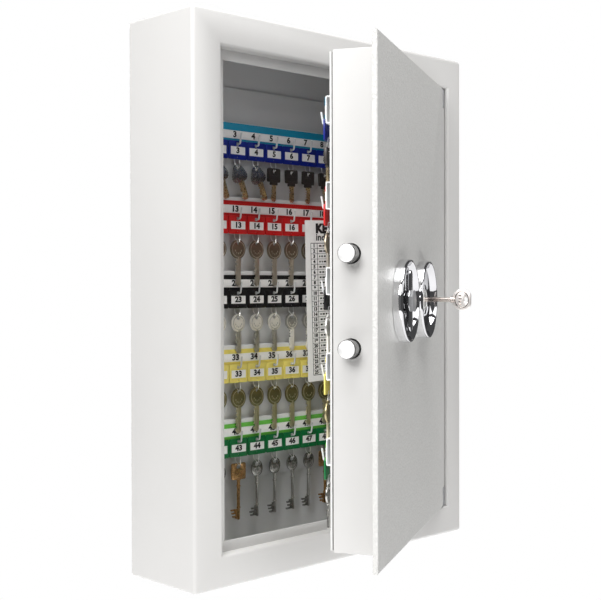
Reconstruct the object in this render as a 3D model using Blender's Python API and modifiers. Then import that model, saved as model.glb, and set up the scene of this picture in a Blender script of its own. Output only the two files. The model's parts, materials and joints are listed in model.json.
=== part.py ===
"""Wall-mounted key cabinet: a sheet-steel body, a hinged door with a key-locked
boltwork, and five rows of numbered key hooks in the body and five in the door.

Units are metres. X runs to the right, Y into the wall and Z up. The origin is the
middle of the face that lies on the wall. Door pieces are modelled with the door
closed and then turned open with the door_hinge empty.

blender --background --python part.py
"""

import math

import bmesh
import bpy
from mathutils import Matrix, Vector

# Body
WIDTH, HEIGHT, DEPTH = 0.435, 0.600, 0.1085
SHEET = 0.002  # thickness of the body's sheet steel
GAP = 0.0003  # air between touching pieces
CORNER_RADIUS = 0.004
LEFT, RIGHT = -WIDTH / 2, WIDTH / 2
BOTTOM, TOP = -HEIGHT / 2, HEIGHT / 2
FRONT = -DEPTH

# Opening in the front border, its rounded edge and the door stop behind it
OPENING_LEFT, OPENING_RIGHT = LEFT + 0.0387, LEFT + 0.4087
OPENING_BOTTOM, OPENING_TOP = BOTTOM + 0.0345, BOTTOM + 0.5625
OPENING_RADIUS = 0.0035
STOP_Y = FRONT + 0.0130  # front face of the door stop
STOP_THICKNESS = 0.0015
STOP_SIDE, STOP_END = 0.0123, 0.0110  # how far the stop shows at the sides and at top and bottom
STOP_BEHIND = 0.0085  # how far it reaches behind the border
KEEP_DEPTH = 0.0118  # return on the lock side that the bolts bear on

# Wall fixing
WALL_BOLTS_X, WALL_BOLTS_Z = 0.375, 0.460  # hole spacings
WALL_HOLE_RADIUS = 0.0045
WASHER_RADIUS, WASHER = 0.010, 0.0015
BOLT_HEAD_RADIUS, BOLT_HEAD = 0.0075, 0.005
SHANK_RADIUS = 0.0035

# Door plate, box and liner, door closed
DOOR_LEFT, DOOR_RIGHT = OPENING_LEFT + 0.0040, OPENING_RIGHT - 0.0020
DOOR_BOTTOM, DOOR_TOP = OPENING_BOTTOM + 0.0020, OPENING_TOP - 0.0020
DOOR_MIDDLE_Z = (DOOR_BOTTOM + DOOR_TOP) / 2
DOOR_PLATE = 0.0054
HINGE_STRIP_WIDTH, HINGE_STRIP_RECESS = 0.029, 0.0015
BOX_LEFT, BOX_RIGHT = DOOR_LEFT + 0.0318, DOOR_RIGHT - 0.0190
BOX_HALF_HEIGHT = 0.2513
BOX_SHEET = 0.0015
BOX_BACK = FRONT + 0.0535
BOX_FLANGE = 0.010
LINER_FRONT, LINER_BACK = BOX_BACK + 0.0015, BOX_BACK + 0.0037

# Hinge and door angles
HINGE = Vector((DOOR_RIGHT - 0.0055, FRONT + 0.0055, 0))
DOOR_REST_ANGLE = math.radians(28.5)
KNUCKLE, KNUCKLE_HEIGHT = 0.009, 0.022
PIN_RADIUS, PIN_BORE, PIN_DEPTH = 0.0025, 0.0028, 0.014
PIN_HEAD_RADIUS, PIN_HEAD = 0.0032, 0.0025
KNUCKLE_PLAY = 0.002  # between a knuckle and the border above or below it

# Handle and lock, seen on the door front
HANDLE = Vector((DOOR_RIGHT - 0.259, FRONT, DOOR_MIDDLE_Z))
LOCK = Vector((DOOR_RIGHT - 0.157, FRONT, DOOR_MIDDLE_Z))
DISH_RADIUS, DISH_RISE = 0.0435, 0.011
HUB_RADIUS, GRIP_LENGTH, GRIP_WIDTH = 0.0120, 0.065, 0.013
GRIP_BACK, GRIP_FRONT = FRONT - 0.0065, FRONT - 0.0135
SPINDLE_RADIUS, SPINDLE_BORE = 0.0050, 0.0056

# Boltwork: a crank pin on the spindle draws the bolt carriage along
BOLT_RADIUS, BOLT_BORE, BOLT_SHOWS, BOLT_LENGTH = 0.00935, 0.0097, 0.0185, 0.074
BOLT_Y = FRONT + 0.035
BOLT_HEIGHTS = {"upper": BOTTOM + 0.3465, "lower": BOTTOM + 0.2520}
BOLT_TRAVEL = 0.016
CRANK_RADIUS = BOLT_TRAVEL / math.sqrt(2)  # a quarter turn moves the pin by the bolt travel
CRANK_PIN_RADIUS, CRANK_SLOT = 0.0025, 0.0034
CRANK_FRONT, CRANK_BACK, CRANK_MARGIN = FRONT + 0.0262, FRONT + 0.0300, 0.0050
CARRIAGE = 0.003
TAIL_TOP = LOCK.z - 0.0585  # upper edge of the carriage tail that the deadbolt locks
TAIL_HEIGHT = 0.014

# Lock case, curtain and key
CASE_HALF_WIDTH, CASE_BELOW, CASE_ABOVE = 0.035, 0.0487, 0.0483
CASE_FRONT, CASE_BACK = FRONT + DOOR_PLATE + 0.0006, FRONT + 0.042
CURTAIN_RADIUS, CURTAIN_BORE = 0.0120, 0.0124
BOLT_WINDOW = 0.0102  # radius of the bolts' holes in the wall of the door box
GUIDE_LEFT, GUIDE, GUIDE_HALF_HEIGHT = BOX_LEFT + 0.021, 0.008, 0.016
CURTAIN_FRONT, CURTAIN_BACK = FRONT - 0.0050, FRONT + 0.020
KEY_SHAFT, KEY_HOLE = 0.0025, 0.0030
KEY_BIT_SPAN, KEY_BIT = 0.019, 0.0022
KEY_TIP, BOW_START, BOW_END = FRONT + 0.033, FRONT - 0.037, FRONT - 0.057
BOW_HALF_HEIGHT, BOW_THICKNESS, BOW_EYE = 0.012, 0.0026, 0.0025
COLLAR_RADIUS, COLLAR = 0.0038, 0.004
DEADBOLT_WIDTH, DEADBOLT, DEADBOLT_LENGTH, DEADBOLT_TRAVEL = 0.009, 0.004, 0.022, 0.007

# Hook rows. A row's height is that of its tags' label centres.
ROWS, HOOKS, PITCH = 5, 10, 0.0285
TOP_ROW_Z, ROW_SPACING = BOTTOM + 0.471, 0.08625
FIRST_HOOK_X = LEFT + 0.084
BOARD_BACK, BOARD = -SHEET - 0.0007, 0.0012
BOARD_LEFT, BOARD_RIGHT = FIRST_HOOK_X - 0.028, FIRST_HOOK_X + (HOOKS - 1) * PITCH + 0.0385
BOARD_BOTTOM, BOARD_TOP = BOTTOM + 0.088, BOTTOM + 0.545
BAR_REACH, BAR_SHEET = 0.0063, 0.0012  # from the board's face to the front of the bar
BAR_BOTTOM, BAR_TOP, BAR_END = 0.0055, 0.0315, 0.020
STRIP_BOTTOM, STRIP_TOP, STRIP = 0.0104, 0.0272, 0.0006
HOOK_FOOT_Z, HOOK_TIP_Z, HOOK_REACH, HOOK_LEAN, HOOK_WIRE = 0.0077, 0.0205, 0.0092, 0.0022, 0.0020
TAG_BOTTOM, TAG_TOP, TAG, TAG_REACH = -0.0100, 0.0113, 0.0016, 0.0042
TAG_HOLE = (0.0046, 0.0058, 0.0096)  # width, bottom and top
KEY_HEAD, KEY_HEAD_TOP, KEY_HEAD_BOTTOM = 0.0210, -0.0165, -0.0360
KEY_BLADE, RING = 0.0080, 0.0070
KEY_ENDS = (-0.056, -0.070, -0.062, -0.069, -0.083)  # tips of the keys of each row
DOOR_KEY_ENDS = (*KEY_ENDS[:-1], -0.062)
DOOR_ROW_SHIFT = 0.0012  # the door's rows sit a little higher than the body's

# Index card that hangs in front of the second and third rows
CARD_LEFT, CARD_WIDTH, CARD_HEIGHT = LEFT + 0.2385, 0.105, 0.197
CARD_Y, CARD = -0.0245, 0.0006
CARD_HOOK, TAB_WIDTH, TAB_EYE = 6, 0.008, 0.0036  # the hook that carries the card, from 0

PAINTS = {  # colour, roughness, metallic
    "body_paint": ((0.80, 0.79, 0.77), 0.45, 0.0),
    "door_paint": ((0.70, 0.70, 0.68), 0.50, 0.0),
    "inner_paint": ((0.42, 0.43, 0.43), 0.50, 0.0),
    "liner_paint": ((0.85, 0.85, 0.84), 0.45, 0.0),
    "zinc_steel": ((0.62, 0.63, 0.65), 0.35, 1.0),
    "chrome": ((0.80, 0.80, 0.82), 0.12, 1.0),
    "paper": ((0.90, 0.90, 0.88), 0.80, 0.0),
    "key_nickel": ((0.60, 0.59, 0.56), 0.30, 1.0),
    "blue": ((0.02, 0.06, 0.30), 0.45, 0.0),
    "red": ((0.55, 0.03, 0.04), 0.45, 0.0),
    "black": ((0.03, 0.03, 0.03), 0.45, 0.0),
    "yellow": ((0.80, 0.62, 0.05), 0.45, 0.0),
    "green": ((0.03, 0.22, 0.10), 0.45, 0.0),
}
ROW_PAINTS = ("blue", "red", "black", "yellow", "green")


def start_scene():
    """Empty the scene and make the collections for the parts and their cutters."""
    for obj in list(bpy.data.objects):
        bpy.data.objects.remove(obj, do_unlink=True)
    for name in ("key_cabinet", "cutters"):
        collection = bpy.data.collections.new(name)
        bpy.context.scene.collection.children.link(collection)


def paint(obj, name):
    """Give an object the named paint, which is made on its first use."""
    material = bpy.data.materials.get(name)
    if material is None:
        colour, roughness, metallic = PAINTS[name]
        material = bpy.data.materials.new(name)
        material.use_nodes = True
        shader = material.node_tree.nodes["Principled BSDF"]
        shader.inputs["Base Color"].default_value = (*colour, 1)
        shader.inputs["Roughness"].default_value = roughness
        shader.inputs["Metallic"].default_value = metallic
    obj.data.materials.clear()
    obj.data.materials.append(material)
    return obj


def new_object(name, mesh, place=(0, 0, 0)):
    obj = bpy.data.objects.new(name, mesh)
    obj.location = place
    bpy.data.collections["key_cabinet"].objects.link(obj)
    return obj


def bmesh_object(name, shape, place=(0, 0, 0)):
    """Turn a bmesh into an object."""
    mesh = bpy.data.meshes.new(name)
    shape.to_mesh(mesh)
    shape.free()
    return new_object(name, mesh, place)


def box(name, low, high):
    """A box between two opposite corners, with its origin at its middle."""
    low, high = Vector(low), Vector(high)
    shape = bmesh.new()
    bmesh.ops.create_cube(shape, size=1)
    bmesh.ops.scale(shape, vec=high - low, verts=shape.verts)
    return bmesh_object(name, shape, (low + high) / 2)


def along(axis):
    """Rotation that turns local Z to the named axis, with local X and Y on the other two in order."""
    return {
        "X": Matrix(((0, 0, 1), (1, 0, 0), (0, 1, 0))),
        "Y": Matrix(((1, 0, 0), (0, 0, -1), (0, 1, 0))),
        "Z": Matrix.Identity(3),
    }[axis].to_4x4()


def rod(name, axis, place, start, stop, radius, sides=24):
    """A cylinder along an axis through place, from start to stop on that axis."""
    shape = bmesh.new()
    bmesh.ops.create_cone(
        shape, cap_ends=True, segments=sides, radius1=radius, radius2=radius, depth=abs(stop - start)
    )
    bmesh.ops.transform(shape, matrix=along(axis), verts=shape.verts)
    middle = Vector(place)
    middle["XYZ".index(axis)] = (start + stop) / 2
    return smooth(bmesh_object(name, shape, middle))


def smooth(obj, angle=35):
    obj.data.shade_smooth()
    obj.data.set_sharp_from_angle(angle=math.radians(angle))
    return obj


def curve_object(name, loops, half_thickness):
    """A flat outline with holes, thickened both ways."""
    curve = bpy.data.curves.new(name, "CURVE")
    curve.dimensions = "2D"
    curve.fill_mode = "BOTH"
    curve.extrude = half_thickness
    for loop in loops:
        spline = curve.splines.new("POLY")
        spline.points.add(len(loop) - 1)
        for point, (a, b) in zip(spline.points, loop):
            point.co = (a, b, 0, 1)
        spline.use_cyclic_u = True
    obj = bpy.data.objects.new(name, curve)
    bpy.data.collections["key_cabinet"].objects.link(obj)
    return obj


def as_mesh(obj):
    """Replace an object by its evaluated mesh with welded caps, in world coordinates."""
    name = obj.name
    bpy.context.view_layer.update()
    evaluated = obj.evaluated_get(bpy.context.evaluated_depsgraph_get())
    mesh = bpy.data.meshes.new_from_object(evaluated)
    shape = bmesh.new()
    shape.from_mesh(mesh)
    bmesh.ops.transform(shape, matrix=obj.matrix_world, verts=shape.verts)
    bmesh.ops.remove_doubles(shape, verts=shape.verts, dist=1e-6)
    bmesh.ops.recalc_face_normals(shape, faces=shape.faces)
    if shape.calc_volume(signed=True) < 0:
        bmesh.ops.reverse_faces(shape, faces=shape.faces)
    middle = sum((v.co for v in shape.verts), Vector()) / len(shape.verts)
    bmesh.ops.translate(shape, vec=-middle, verts=shape.verts)
    bpy.data.meshes.remove(mesh)
    bpy.data.objects.remove(obj, do_unlink=True)
    return bmesh_object(name, shape, middle)


def extrusion(name, axis, start, stop, *loops):
    """A flat outline, and holes, drawn on the other two axes in order, from start to stop along axis."""
    obj = curve_object(name, loops, abs(stop - start) / 2)
    place = Vector((0, 0, 0))
    place["XYZ".index(axis)] = (start + stop) / 2
    obj.matrix_world = Matrix.Translation(place) @ along(axis)
    return as_mesh(obj)


def rectangle(left, bottom, right, top):
    return [(left, bottom), (right, bottom), (right, top), (left, top)]


def ring_of(centre, radius, sides, turn=0.0):
    """Points of a circle or regular polygon."""
    return [
        (
            centre[0] + radius * math.cos(turn + math.tau * k / sides),
            centre[1] + radius * math.sin(turn + math.tau * k / sides),
        )
        for k in range(sides)
    ]


def turned(name, place, profile, steps=40, closed=False):
    """A profile of (radius, height above place) turned about the axis that points out of the front."""
    mesh = bpy.data.meshes.new(name)
    edges = [(k, k + 1) for k in range(len(profile) - 1)]
    if closed:
        edges.append((len(profile) - 1, 0))
    mesh.from_pydata([(r, 0, h) for r, h in profile], edges, [])
    obj = new_object(name, mesh, place)
    obj.rotation_euler.x = math.radians(90)
    screw = obj.modifiers.new("turn", "SCREW")
    screw.axis = "Z"
    screw.steps = screw.render_steps = steps
    screw.use_merge_vertices = True
    screw.merge_threshold = 0.00001
    return obj


def boolean(obj, other, operation):
    modifier = obj.modifiers.new(operation.lower(), "BOOLEAN")
    modifier.operation = operation
    modifier.object = other
    return obj


def cut(obj, *cutters):
    """Cut other shapes out of an object; the cutters stay as hidden guides that move with it."""
    hang(cutters, obj)
    for cutter in cutters:
        boolean(obj, cutter, "DIFFERENCE")
        bpy.data.collections["key_cabinet"].objects.unlink(cutter)
        bpy.data.collections["cutters"].objects.link(cutter)
        cutter.hide_render = True
        cutter.display_type = "WIRE"
        cutter.name = "cut_" + cutter.name
    return obj


def fuse(obj, *others):
    """Join overlapping shapes into one body."""
    for other in others:
        boolean(obj, other, "UNION")
    joined = as_mesh(obj)
    for other in others:
        bpy.data.objects.remove(other, do_unlink=True)
    return joined


def round_edges(obj, radius, segments, chosen):
    """Round the edges whose two ends are chosen, in world coordinates."""
    shape = bmesh.new()
    shape.from_mesh(obj.data)
    edges = [e for e in shape.edges if chosen(*(obj.location + v.co for v in e.verts))]
    bmesh.ops.bevel(
        shape, geom=edges, offset=radius, segments=segments, profile=0.5, affect="EDGES"
    )
    shape.to_mesh(obj.data)
    shape.free()
    return obj


def near(a, b):
    return abs(a - b) < 1e-5


def all_near(points, axis, *values):
    """Whether every point lies on one of the planes axis = value."""
    return all(any(near(p["XYZ".index(axis)], value) for value in values) for p in points)


# --- Body ---------------------------------------------------------------------------------


def opening_box(name, grow, start, stop):
    return box(
        name,
        (OPENING_LEFT - grow, start, OPENING_BOTTOM - grow),
        (OPENING_RIGHT + grow, stop, OPENING_TOP + grow),
    )


def on_opening_edge(a, b):
    """An edge of the front face that runs along the opening."""
    if not all_near((a, b), "Y", FRONT):
        return False
    return all_near((a, b), "X", OPENING_LEFT) or all_near((a, b), "X", OPENING_RIGHT) or (
        all_near((a, b), "Z", OPENING_BOTTOM) or all_near((a, b), "Z", OPENING_TOP)
    )


def cabinet_shell():
    """Folded wrap with a front border whose opening is turned in to the door stop."""
    shell = box("cabinet_shell", (LEFT, FRONT, BOTTOM), (RIGHT, 0, TOP))
    round_edges(shell, CORNER_RADIUS, 3, lambda a, b: not all_near((a, b), "Y", 0))
    cut(
        shell,
        box(
            "inside",
            (LEFT + SHEET, FRONT + SHEET, BOTTOM + SHEET),
            (RIGHT - SHEET, 0.01, TOP - SHEET),
        ),
    )
    shell = as_mesh(shell)
    turned_in = opening_box("turned_in", SHEET, FRONT + SHEET / 2, STOP_Y - GAP)
    shell = fuse(shell, turned_in)
    cut(shell, opening_box("opening", 0, FRONT - 0.01, 0))
    shell = as_mesh(shell)
    round_edges(shell, OPENING_RADIUS, 3, on_opening_edge)
    for name, low in (("upper_pin_hole", OPENING_TOP), ("lower_pin_hole", OPENING_BOTTOM)):
        cut(shell, rod(name, "Z", HINGE, low - 0.004, low + 0.004, PIN_BORE, 16))
    return [paint(shell, "body_paint")]


def wall_bolt_places():
    return [
        (side * WALL_BOLTS_X / 2, end * WALL_BOLTS_Z / 2) for end in (1, -1) for side in (-1, 1)
    ]


def back_panel():
    inset = SHEET + GAP
    outer = rectangle(LEFT + inset, BOTTOM + inset, RIGHT - inset, TOP - inset)
    holes = [ring_of(place, WALL_HOLE_RADIUS, 16) for place in wall_bolt_places()]
    return [paint(extrusion("back_panel", "Y", -SHEET, 0, outer, *holes), "inner_paint")]


def wall_bolts():
    bolts = []
    for number, (x, z) in enumerate(wall_bolt_places(), 1):
        seat = -SHEET - GAP
        place = (x, 0, z)
        top = seat - WASHER
        washer = rod("washer", "Y", place, top, seat, WASHER_RADIUS, 20)
        head = rod("head", "Y", place, top - BOLT_HEAD, seat - WASHER / 2, BOLT_HEAD_RADIUS, 6)
        shank = rod(f"wall_bolt_{number}", "Y", place, seat - WASHER / 2, -GAP, SHANK_RADIUS, 12)
        bolts.append(paint(fuse(shank, washer, head), "zinc_steel"))
    return bolts


def door_stop_frame():
    """Frame behind the opening; on the lock side its edge is turned back for the bolts."""
    outer = rectangle(
        OPENING_LEFT - STOP_BEHIND,
        OPENING_BOTTOM - STOP_BEHIND,
        OPENING_RIGHT + STOP_BEHIND,
        OPENING_TOP + STOP_BEHIND,
    )
    left, bottom = OPENING_LEFT + STOP_SIDE, OPENING_BOTTOM + STOP_END
    top = OPENING_TOP - STOP_END
    inner = rectangle(left, bottom, OPENING_RIGHT - STOP_END, top)
    frame = extrusion("door_stop_frame", "Y", STOP_Y, STOP_Y + STOP_THICKNESS, outer, inner)
    keep = box(
        "keep",
        (left - STOP_THICKNESS, STOP_Y + STOP_THICKNESS / 2, bottom - STOP_THICKNESS),
        (left, STOP_Y + KEEP_DEPTH, top + STOP_THICKNESS),
    )
    return [paint(fuse(frame, keep), "body_paint")]


def hinge_pins():
    """Headed pins through the border into the door's knuckles."""
    pins = []
    for name, border, up in (("upper", OPENING_TOP + SHEET, 1), ("lower", OPENING_BOTTOM - SHEET, -1)):
        seat = border + up * GAP
        tip = border - up * (SHEET + KNUCKLE_PLAY + PIN_DEPTH)
        shank = rod(f"hinge_pin_{name}", "Z", HINGE, tip, seat + up * 0.001, PIN_RADIUS, 16)
        head = rod("head", "Z", HINGE, seat, seat + up * PIN_HEAD, PIN_HEAD_RADIUS, 16)
        pins.append(paint(fuse(shank, head), "zinc_steel"))
    return pins


def hook_board():
    low = (BOARD_LEFT, BOARD_BACK - BOARD, BOARD_BOTTOM)
    high = (BOARD_RIGHT, BOARD_BACK, BOARD_TOP)
    return [paint(box("hook_board", low, high), "inner_paint")]


def index_card():
    """A card whose pierced tab goes round the seventh hook of the second row and rests on its foot."""
    tab_z = TOP_ROW_Z - ROW_SPACING + HOOK_FOOT_Z + HOOK_WIRE / 2 + GAP
    top = tab_z + CARD
    card = box(
        "index_card",
        (CARD_LEFT, CARD_Y - CARD, top - CARD_HEIGHT),
        (CARD_LEFT + CARD_WIDTH, CARD_Y, top),
    )
    bar_front = BOARD_BACK - BOARD - BAR_REACH
    hook_x = FIRST_HOOK_X + CARD_HOOK * PITCH
    tab_end = bar_front - TAG_REACH - 0.0007
    tab = rectangle(hook_x - TAB_WIDTH / 2, CARD_Y - CARD / 2, hook_x + TAB_WIDTH / 2, tab_end)
    eye = rectangle(
        hook_x - TAB_EYE / 2,
        bar_front - HOOK_REACH - HOOK_LEAN - 0.0008,
        hook_x + TAB_EYE / 2,
        bar_front - HOOK_REACH + HOOK_WIRE + 0.0005,
    )
    return [paint(fuse(card, extrusion("tab", "Z", tab_z, tab_z + CARD, tab, eye)), "paper")]


# --- Hook rows ----------------------------------------------------------------------------


class HookRows:
    """The five rows on one board; facing is -1 towards the room and 1 towards the wall."""

    def __init__(self, prefix, face, facing, first_hook, shift, key_ends):
        self.prefix = prefix
        self.key_ends = key_ends
        self.facing = facing
        self.face = face
        self.bar_front = face + facing * BAR_REACH
        self.hooks = [first_hook + k * PITCH for k in range(HOOKS)]
        self.heights = [TOP_ROW_Z + shift - k * ROW_SPACING for k in range(ROWS)]

    def out(self, distance):
        """Y at a distance in front of the bar."""
        return self.bar_front + self.facing * distance

    def bar(self, row, z):
        """A channel with ten hooks; each comes out through a tag's hole and turns up."""
        back = self.face + self.facing * GAP
        front, inner = self.bar_front, self.out(-BAR_SHEET)
        low, high = z + BAR_BOTTOM, z + BAR_TOP
        channel = [
            (back, low),
            (front, low),
            (front, high),
            (back, high),
            (back, high - BAR_SHEET),
            (inner, high - BAR_SHEET),
            (inner, low + BAR_SHEET),
            (back, low + BAR_SHEET),
        ]
        start, stop = self.hooks[0] - BAR_END, self.hooks[-1] + BAR_END
        name = f"{self.prefix}hook_bar_{row + 1}"
        bar = extrusion(name, "X", start, stop, channel)
        half = HOOK_WIRE / 2
        foot, tip = z + HOOK_FOOT_Z, z + HOOK_TIP_Z
        hook_path = [
            (self.out(-BAR_SHEET / 2), foot - half),
            (self.out(HOOK_REACH), foot - half),
            (self.out(HOOK_REACH + HOOK_LEAN), tip),
            (self.out(HOOK_REACH + HOOK_LEAN - HOOK_WIRE), tip),
            (self.out(HOOK_REACH - HOOK_WIRE), foot + half),
            (self.out(-BAR_SHEET / 2), foot + half),
        ]
        hooks = [extrusion("hook", "X", x - half, x + half, hook_path) for x in self.hooks]
        return paint(fuse(bar, *hooks), "zinc_steel")

    def strip(self, row, z):
        """The number strip on the front of the bar."""
        start, stop = self.hooks[0] - BAR_END + 0.001, self.hooks[-1] + BAR_END - 0.001
        near_face, far_face = sorted((self.out(GAP), self.out(GAP + STRIP)))
        low, high = (start, near_face, z + STRIP_BOTTOM), (stop, far_face, z + STRIP_TOP)
        return paint(box(f"{self.prefix}label_strip_{row + 1}", low, high), "paper")

    def keys(self, row, z):
        """Ten tags with their rings and keys, joined to each other at the tops of the tags."""
        half = (PITCH - 0.001) / 2
        width, hole_bottom, hole_top = TAG_HOLE
        bridge = z + TAG_TOP - 0.0012
        outline = [(self.hooks[-1] + half, z + TAG_TOP)]
        holes = []
        for x in reversed(self.hooks):
            right_side = [
                (half, bridge),
                (half, z + TAG_BOTTOM),
                (RING / 2, z + TAG_BOTTOM),
                (RING / 2, z + KEY_HEAD_TOP),
                (KEY_HEAD / 2, z + KEY_HEAD_TOP),
                (KEY_HEAD / 2, z + KEY_HEAD_BOTTOM),
                (KEY_BLADE / 2, z + KEY_HEAD_BOTTOM),
                (KEY_BLADE / 2, z + self.key_ends[row]),
            ]
            if x == self.hooks[-1]:
                right_side = right_side[1:]
            outline += [(x + across, height) for across, height in right_side]
            left_side = right_side[::-1] if x != self.hooks[-1] else [*right_side[::-1], (half, bridge)]
            if x == self.hooks[0]:
                left_side = left_side[:-1]
            outline += [(x - across, height) for across, height in left_side]
            holes.append(rectangle(x - width / 2, z + hole_bottom, x + width / 2, z + hole_top))
        outline.append((self.hooks[0] - half, z + TAG_TOP))
        name = f"{self.prefix}keys_row_{row + 1}"
        front, back = self.out(TAG_REACH), self.out(TAG_REACH - TAG)
        return paint(extrusion(name, "Y", front, back, outline, *holes), ROW_PAINTS[row])

    def pieces(self):
        makers = (self.bar, self.strip, self.keys)
        return [make(row, z) for make in makers for row, z in enumerate(self.heights)]


def body_rows():
    return HookRows("", BOARD_BACK - BOARD, -1, FIRST_HOOK_X, 0, KEY_ENDS).pieces()


def door_rows():
    first = (BOX_LEFT + BOX_RIGHT - (HOOKS - 1) * PITCH) / 2
    return HookRows("door_", LINER_BACK, 1, first, DOOR_ROW_SHIFT, DOOR_KEY_ENDS).pieces()


# --- Door ---------------------------------------------------------------------------------


def door_plate():
    right = DOOR_RIGHT - HINGE_STRIP_WIDTH - GAP
    plate = box("door_plate", (DOOR_LEFT, FRONT, DOOR_BOTTOM), (right, FRONT + DOOR_PLATE, DOOR_TOP))
    round_edges(
        plate,
        0.0015,
        3,
        lambda a, b: all_near((a, b), "Y", FRONT) and not all_near((a, b), "X", right),
    )
    cut(
        plate,
        rod("spindle_hole", "Y", HANDLE, FRONT - 0.01, FRONT + 0.02, SPINDLE_BORE, 24),
        rod("lock_hole", "Y", LOCK, FRONT - 0.01, FRONT + 0.02, CURTAIN_BORE, 32),
    )
    return [paint(plate, "door_paint")]


def door_hinge_strip():
    """Slightly sunk strip on the hinge side, cut away at both ends for the knuckles."""
    notch_x, notch_z = HINGE.x - KNUCKLE / 2 - GAP, KNUCKLE_HEIGHT + GAP
    outline = [
        (DOOR_RIGHT - HINGE_STRIP_WIDTH, DOOR_BOTTOM),
        (notch_x, DOOR_BOTTOM),
        (notch_x, DOOR_BOTTOM + notch_z),
        (DOOR_RIGHT, DOOR_BOTTOM + notch_z),
        (DOOR_RIGHT, DOOR_TOP - notch_z),
        (notch_x, DOOR_TOP - notch_z),
        (notch_x, DOOR_TOP),
        (DOOR_RIGHT - HINGE_STRIP_WIDTH, DOOR_TOP),
    ]
    front = FRONT + HINGE_STRIP_RECESS
    strip = extrusion("door_hinge_strip", "Y", front, FRONT + DOOR_PLATE, outline)
    return [paint(strip, "door_paint")]


def hinge_knuckles():
    knuckles = []
    half = Vector((KNUCKLE / 2, KNUCKLE / 2, KNUCKLE_HEIGHT / 2))
    for name, z, up in (("upper", DOOR_TOP, 1), ("lower", DOOR_BOTTOM, -1)):
        middle = Vector((HINGE.x, HINGE.y, z - up * KNUCKLE_HEIGHT / 2))
        knuckle = box(f"hinge_knuckle_{name}", middle - half, middle + half)
        bore = rod("bore", "Z", HINGE, z - up * (PIN_DEPTH + 0.001), z + up * 0.01, PIN_BORE, 16)
        knuckles.append(paint(cut(knuckle, bore), "zinc_steel"))
    return knuckles


def door_box():
    """Four walls behind the plate with a flange turned in at the back, bored for the bolts."""

    def block(name, inset, start, stop):
        half = BOX_HALF_HEIGHT - inset
        low = (BOX_LEFT + inset, start, DOOR_MIDDLE_Z - half)
        return box(name, low, (BOX_RIGHT - inset, stop, DOOR_MIDDLE_Z + half))

    front = FRONT + DOOR_PLATE + GAP
    walls = block("door_box", 0, front, BOX_BACK)
    cavity = block("cavity", BOX_SHEET, front - 0.01, BOX_BACK - BOX_SHEET)
    window = block("window", BOX_FLANGE, front, BOX_BACK + 0.01)
    cut(walls, cavity, window)
    for name, z in BOLT_HEIGHTS.items():
        place = (BOX_LEFT, BOLT_Y, z)
        start, stop = BOX_LEFT - 0.01, BOX_LEFT + 0.01
        cut(walls, rod(name + "_hole", "X", place, start, stop, BOLT_WINDOW, 24))
    return [paint(walls, "door_paint")]


def door_liner():
    inset = BOX_SHEET
    low, high = DOOR_MIDDLE_Z - BOX_HALF_HEIGHT + inset, DOOR_MIDDLE_Z + BOX_HALF_HEIGHT - inset
    liner = box(
        "door_liner", (BOX_LEFT + inset, LINER_FRONT, low), (BOX_RIGHT - inset, LINER_BACK, high)
    )
    return [paint(liner, "liner_paint")]


def dish(name, place, hole_radius):
    """A chrome dish with a raised rim and a hole in its middle."""
    rim = DISH_RADIUS
    profile = [
        (rim - 0.0040, DISH_RISE),
        (rim - 0.0012, DISH_RISE - 0.0022),
        (rim, DISH_RISE - 0.0060),
        (rim, GAP),
        (hole_radius, GAP),
        (hole_radius, 0.0026),
        (rim - 0.0180, 0.0030),
        (rim - 0.0110, 0.0050),
        (rim - 0.0062, DISH_RISE - 0.0010),
    ]
    return paint(smooth(as_mesh(turned(name, place, profile, closed=True))), "chrome")


def dishes():
    return [
        dish("handle_ring", HANDLE, HUB_RADIUS + 0.0010),
        dish("lock_ring", LOCK, CURTAIN_BORE),
    ]


def lock_case():
    low = (LOCK.x - CASE_HALF_WIDTH, CASE_FRONT, LOCK.z - CASE_BELOW)
    high = (LOCK.x + CASE_HALF_WIDTH, CASE_BACK, LOCK.z + CASE_ABOVE)
    case = box("lock_case", low, high)
    bore = rod("case_bore", "Y", LOCK, FRONT, KEY_TIP + 0.0015, CURTAIN_BORE, 32)
    play = 0.0004
    slot = box(
        "deadbolt_slot",
        (LOCK.x - DEADBOLT_WIDTH / 2 - play, BOLT_Y - DEADBOLT / 2 - play, low[2] - 0.001),
        (
            LOCK.x + DEADBOLT_WIDTH / 2 + play,
            BOLT_Y + DEADBOLT / 2 + play,
            TAIL_TOP + DEADBOLT_LENGTH + 0.002,
        ),
    )
    return [paint(cut(case, bore, slot), "zinc_steel")]


def bolt_guides():
    guides = []
    for name, z in BOLT_HEIGHTS.items():
        low = (GUIDE_LEFT, CASE_FRONT, z - GUIDE_HALF_HEIGHT)
        high = (GUIDE_LEFT + GUIDE, BOLT_Y + 0.013, z + GUIDE_HALF_HEIGHT)
        guide = box(f"bolt_guide_{name}", low, high)
        place = (0, BOLT_Y, z)
        bore = rod(name + "_bore", "X", place, low[0] - 0.01, high[0] + 0.01, BOLT_BORE, 24)
        guides.append(paint(cut(guide, bore), "zinc_steel"))
    return guides


# --- Moving pieces of the door -------------------------------------------------------------


def handle_grip():
    """Eight-sided hub with a round-ended grip across the dish."""
    hub_front = GRIP_FRONT + 0.002
    hub = rod("handle_grip", "Y", HANDLE, FRONT - 0.0032, hub_front, HUB_RADIUS, 8)
    radius = GRIP_WIDTH / 2
    straight = GRIP_LENGTH / 2 - radius
    outline = []
    for centre, start in ((straight, 0), (-straight, math.pi)):
        for k in range(9):
            angle = start + math.pi * k / 8
            across, along_grip = radius * math.cos(angle), centre + radius * math.sin(angle)
            outline.append((HANDLE.x + across, HANDLE.z + along_grip))
    return [paint(fuse(hub, extrusion("bar", "Y", GRIP_FRONT, GRIP_BACK, outline)), "chrome")]


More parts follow.
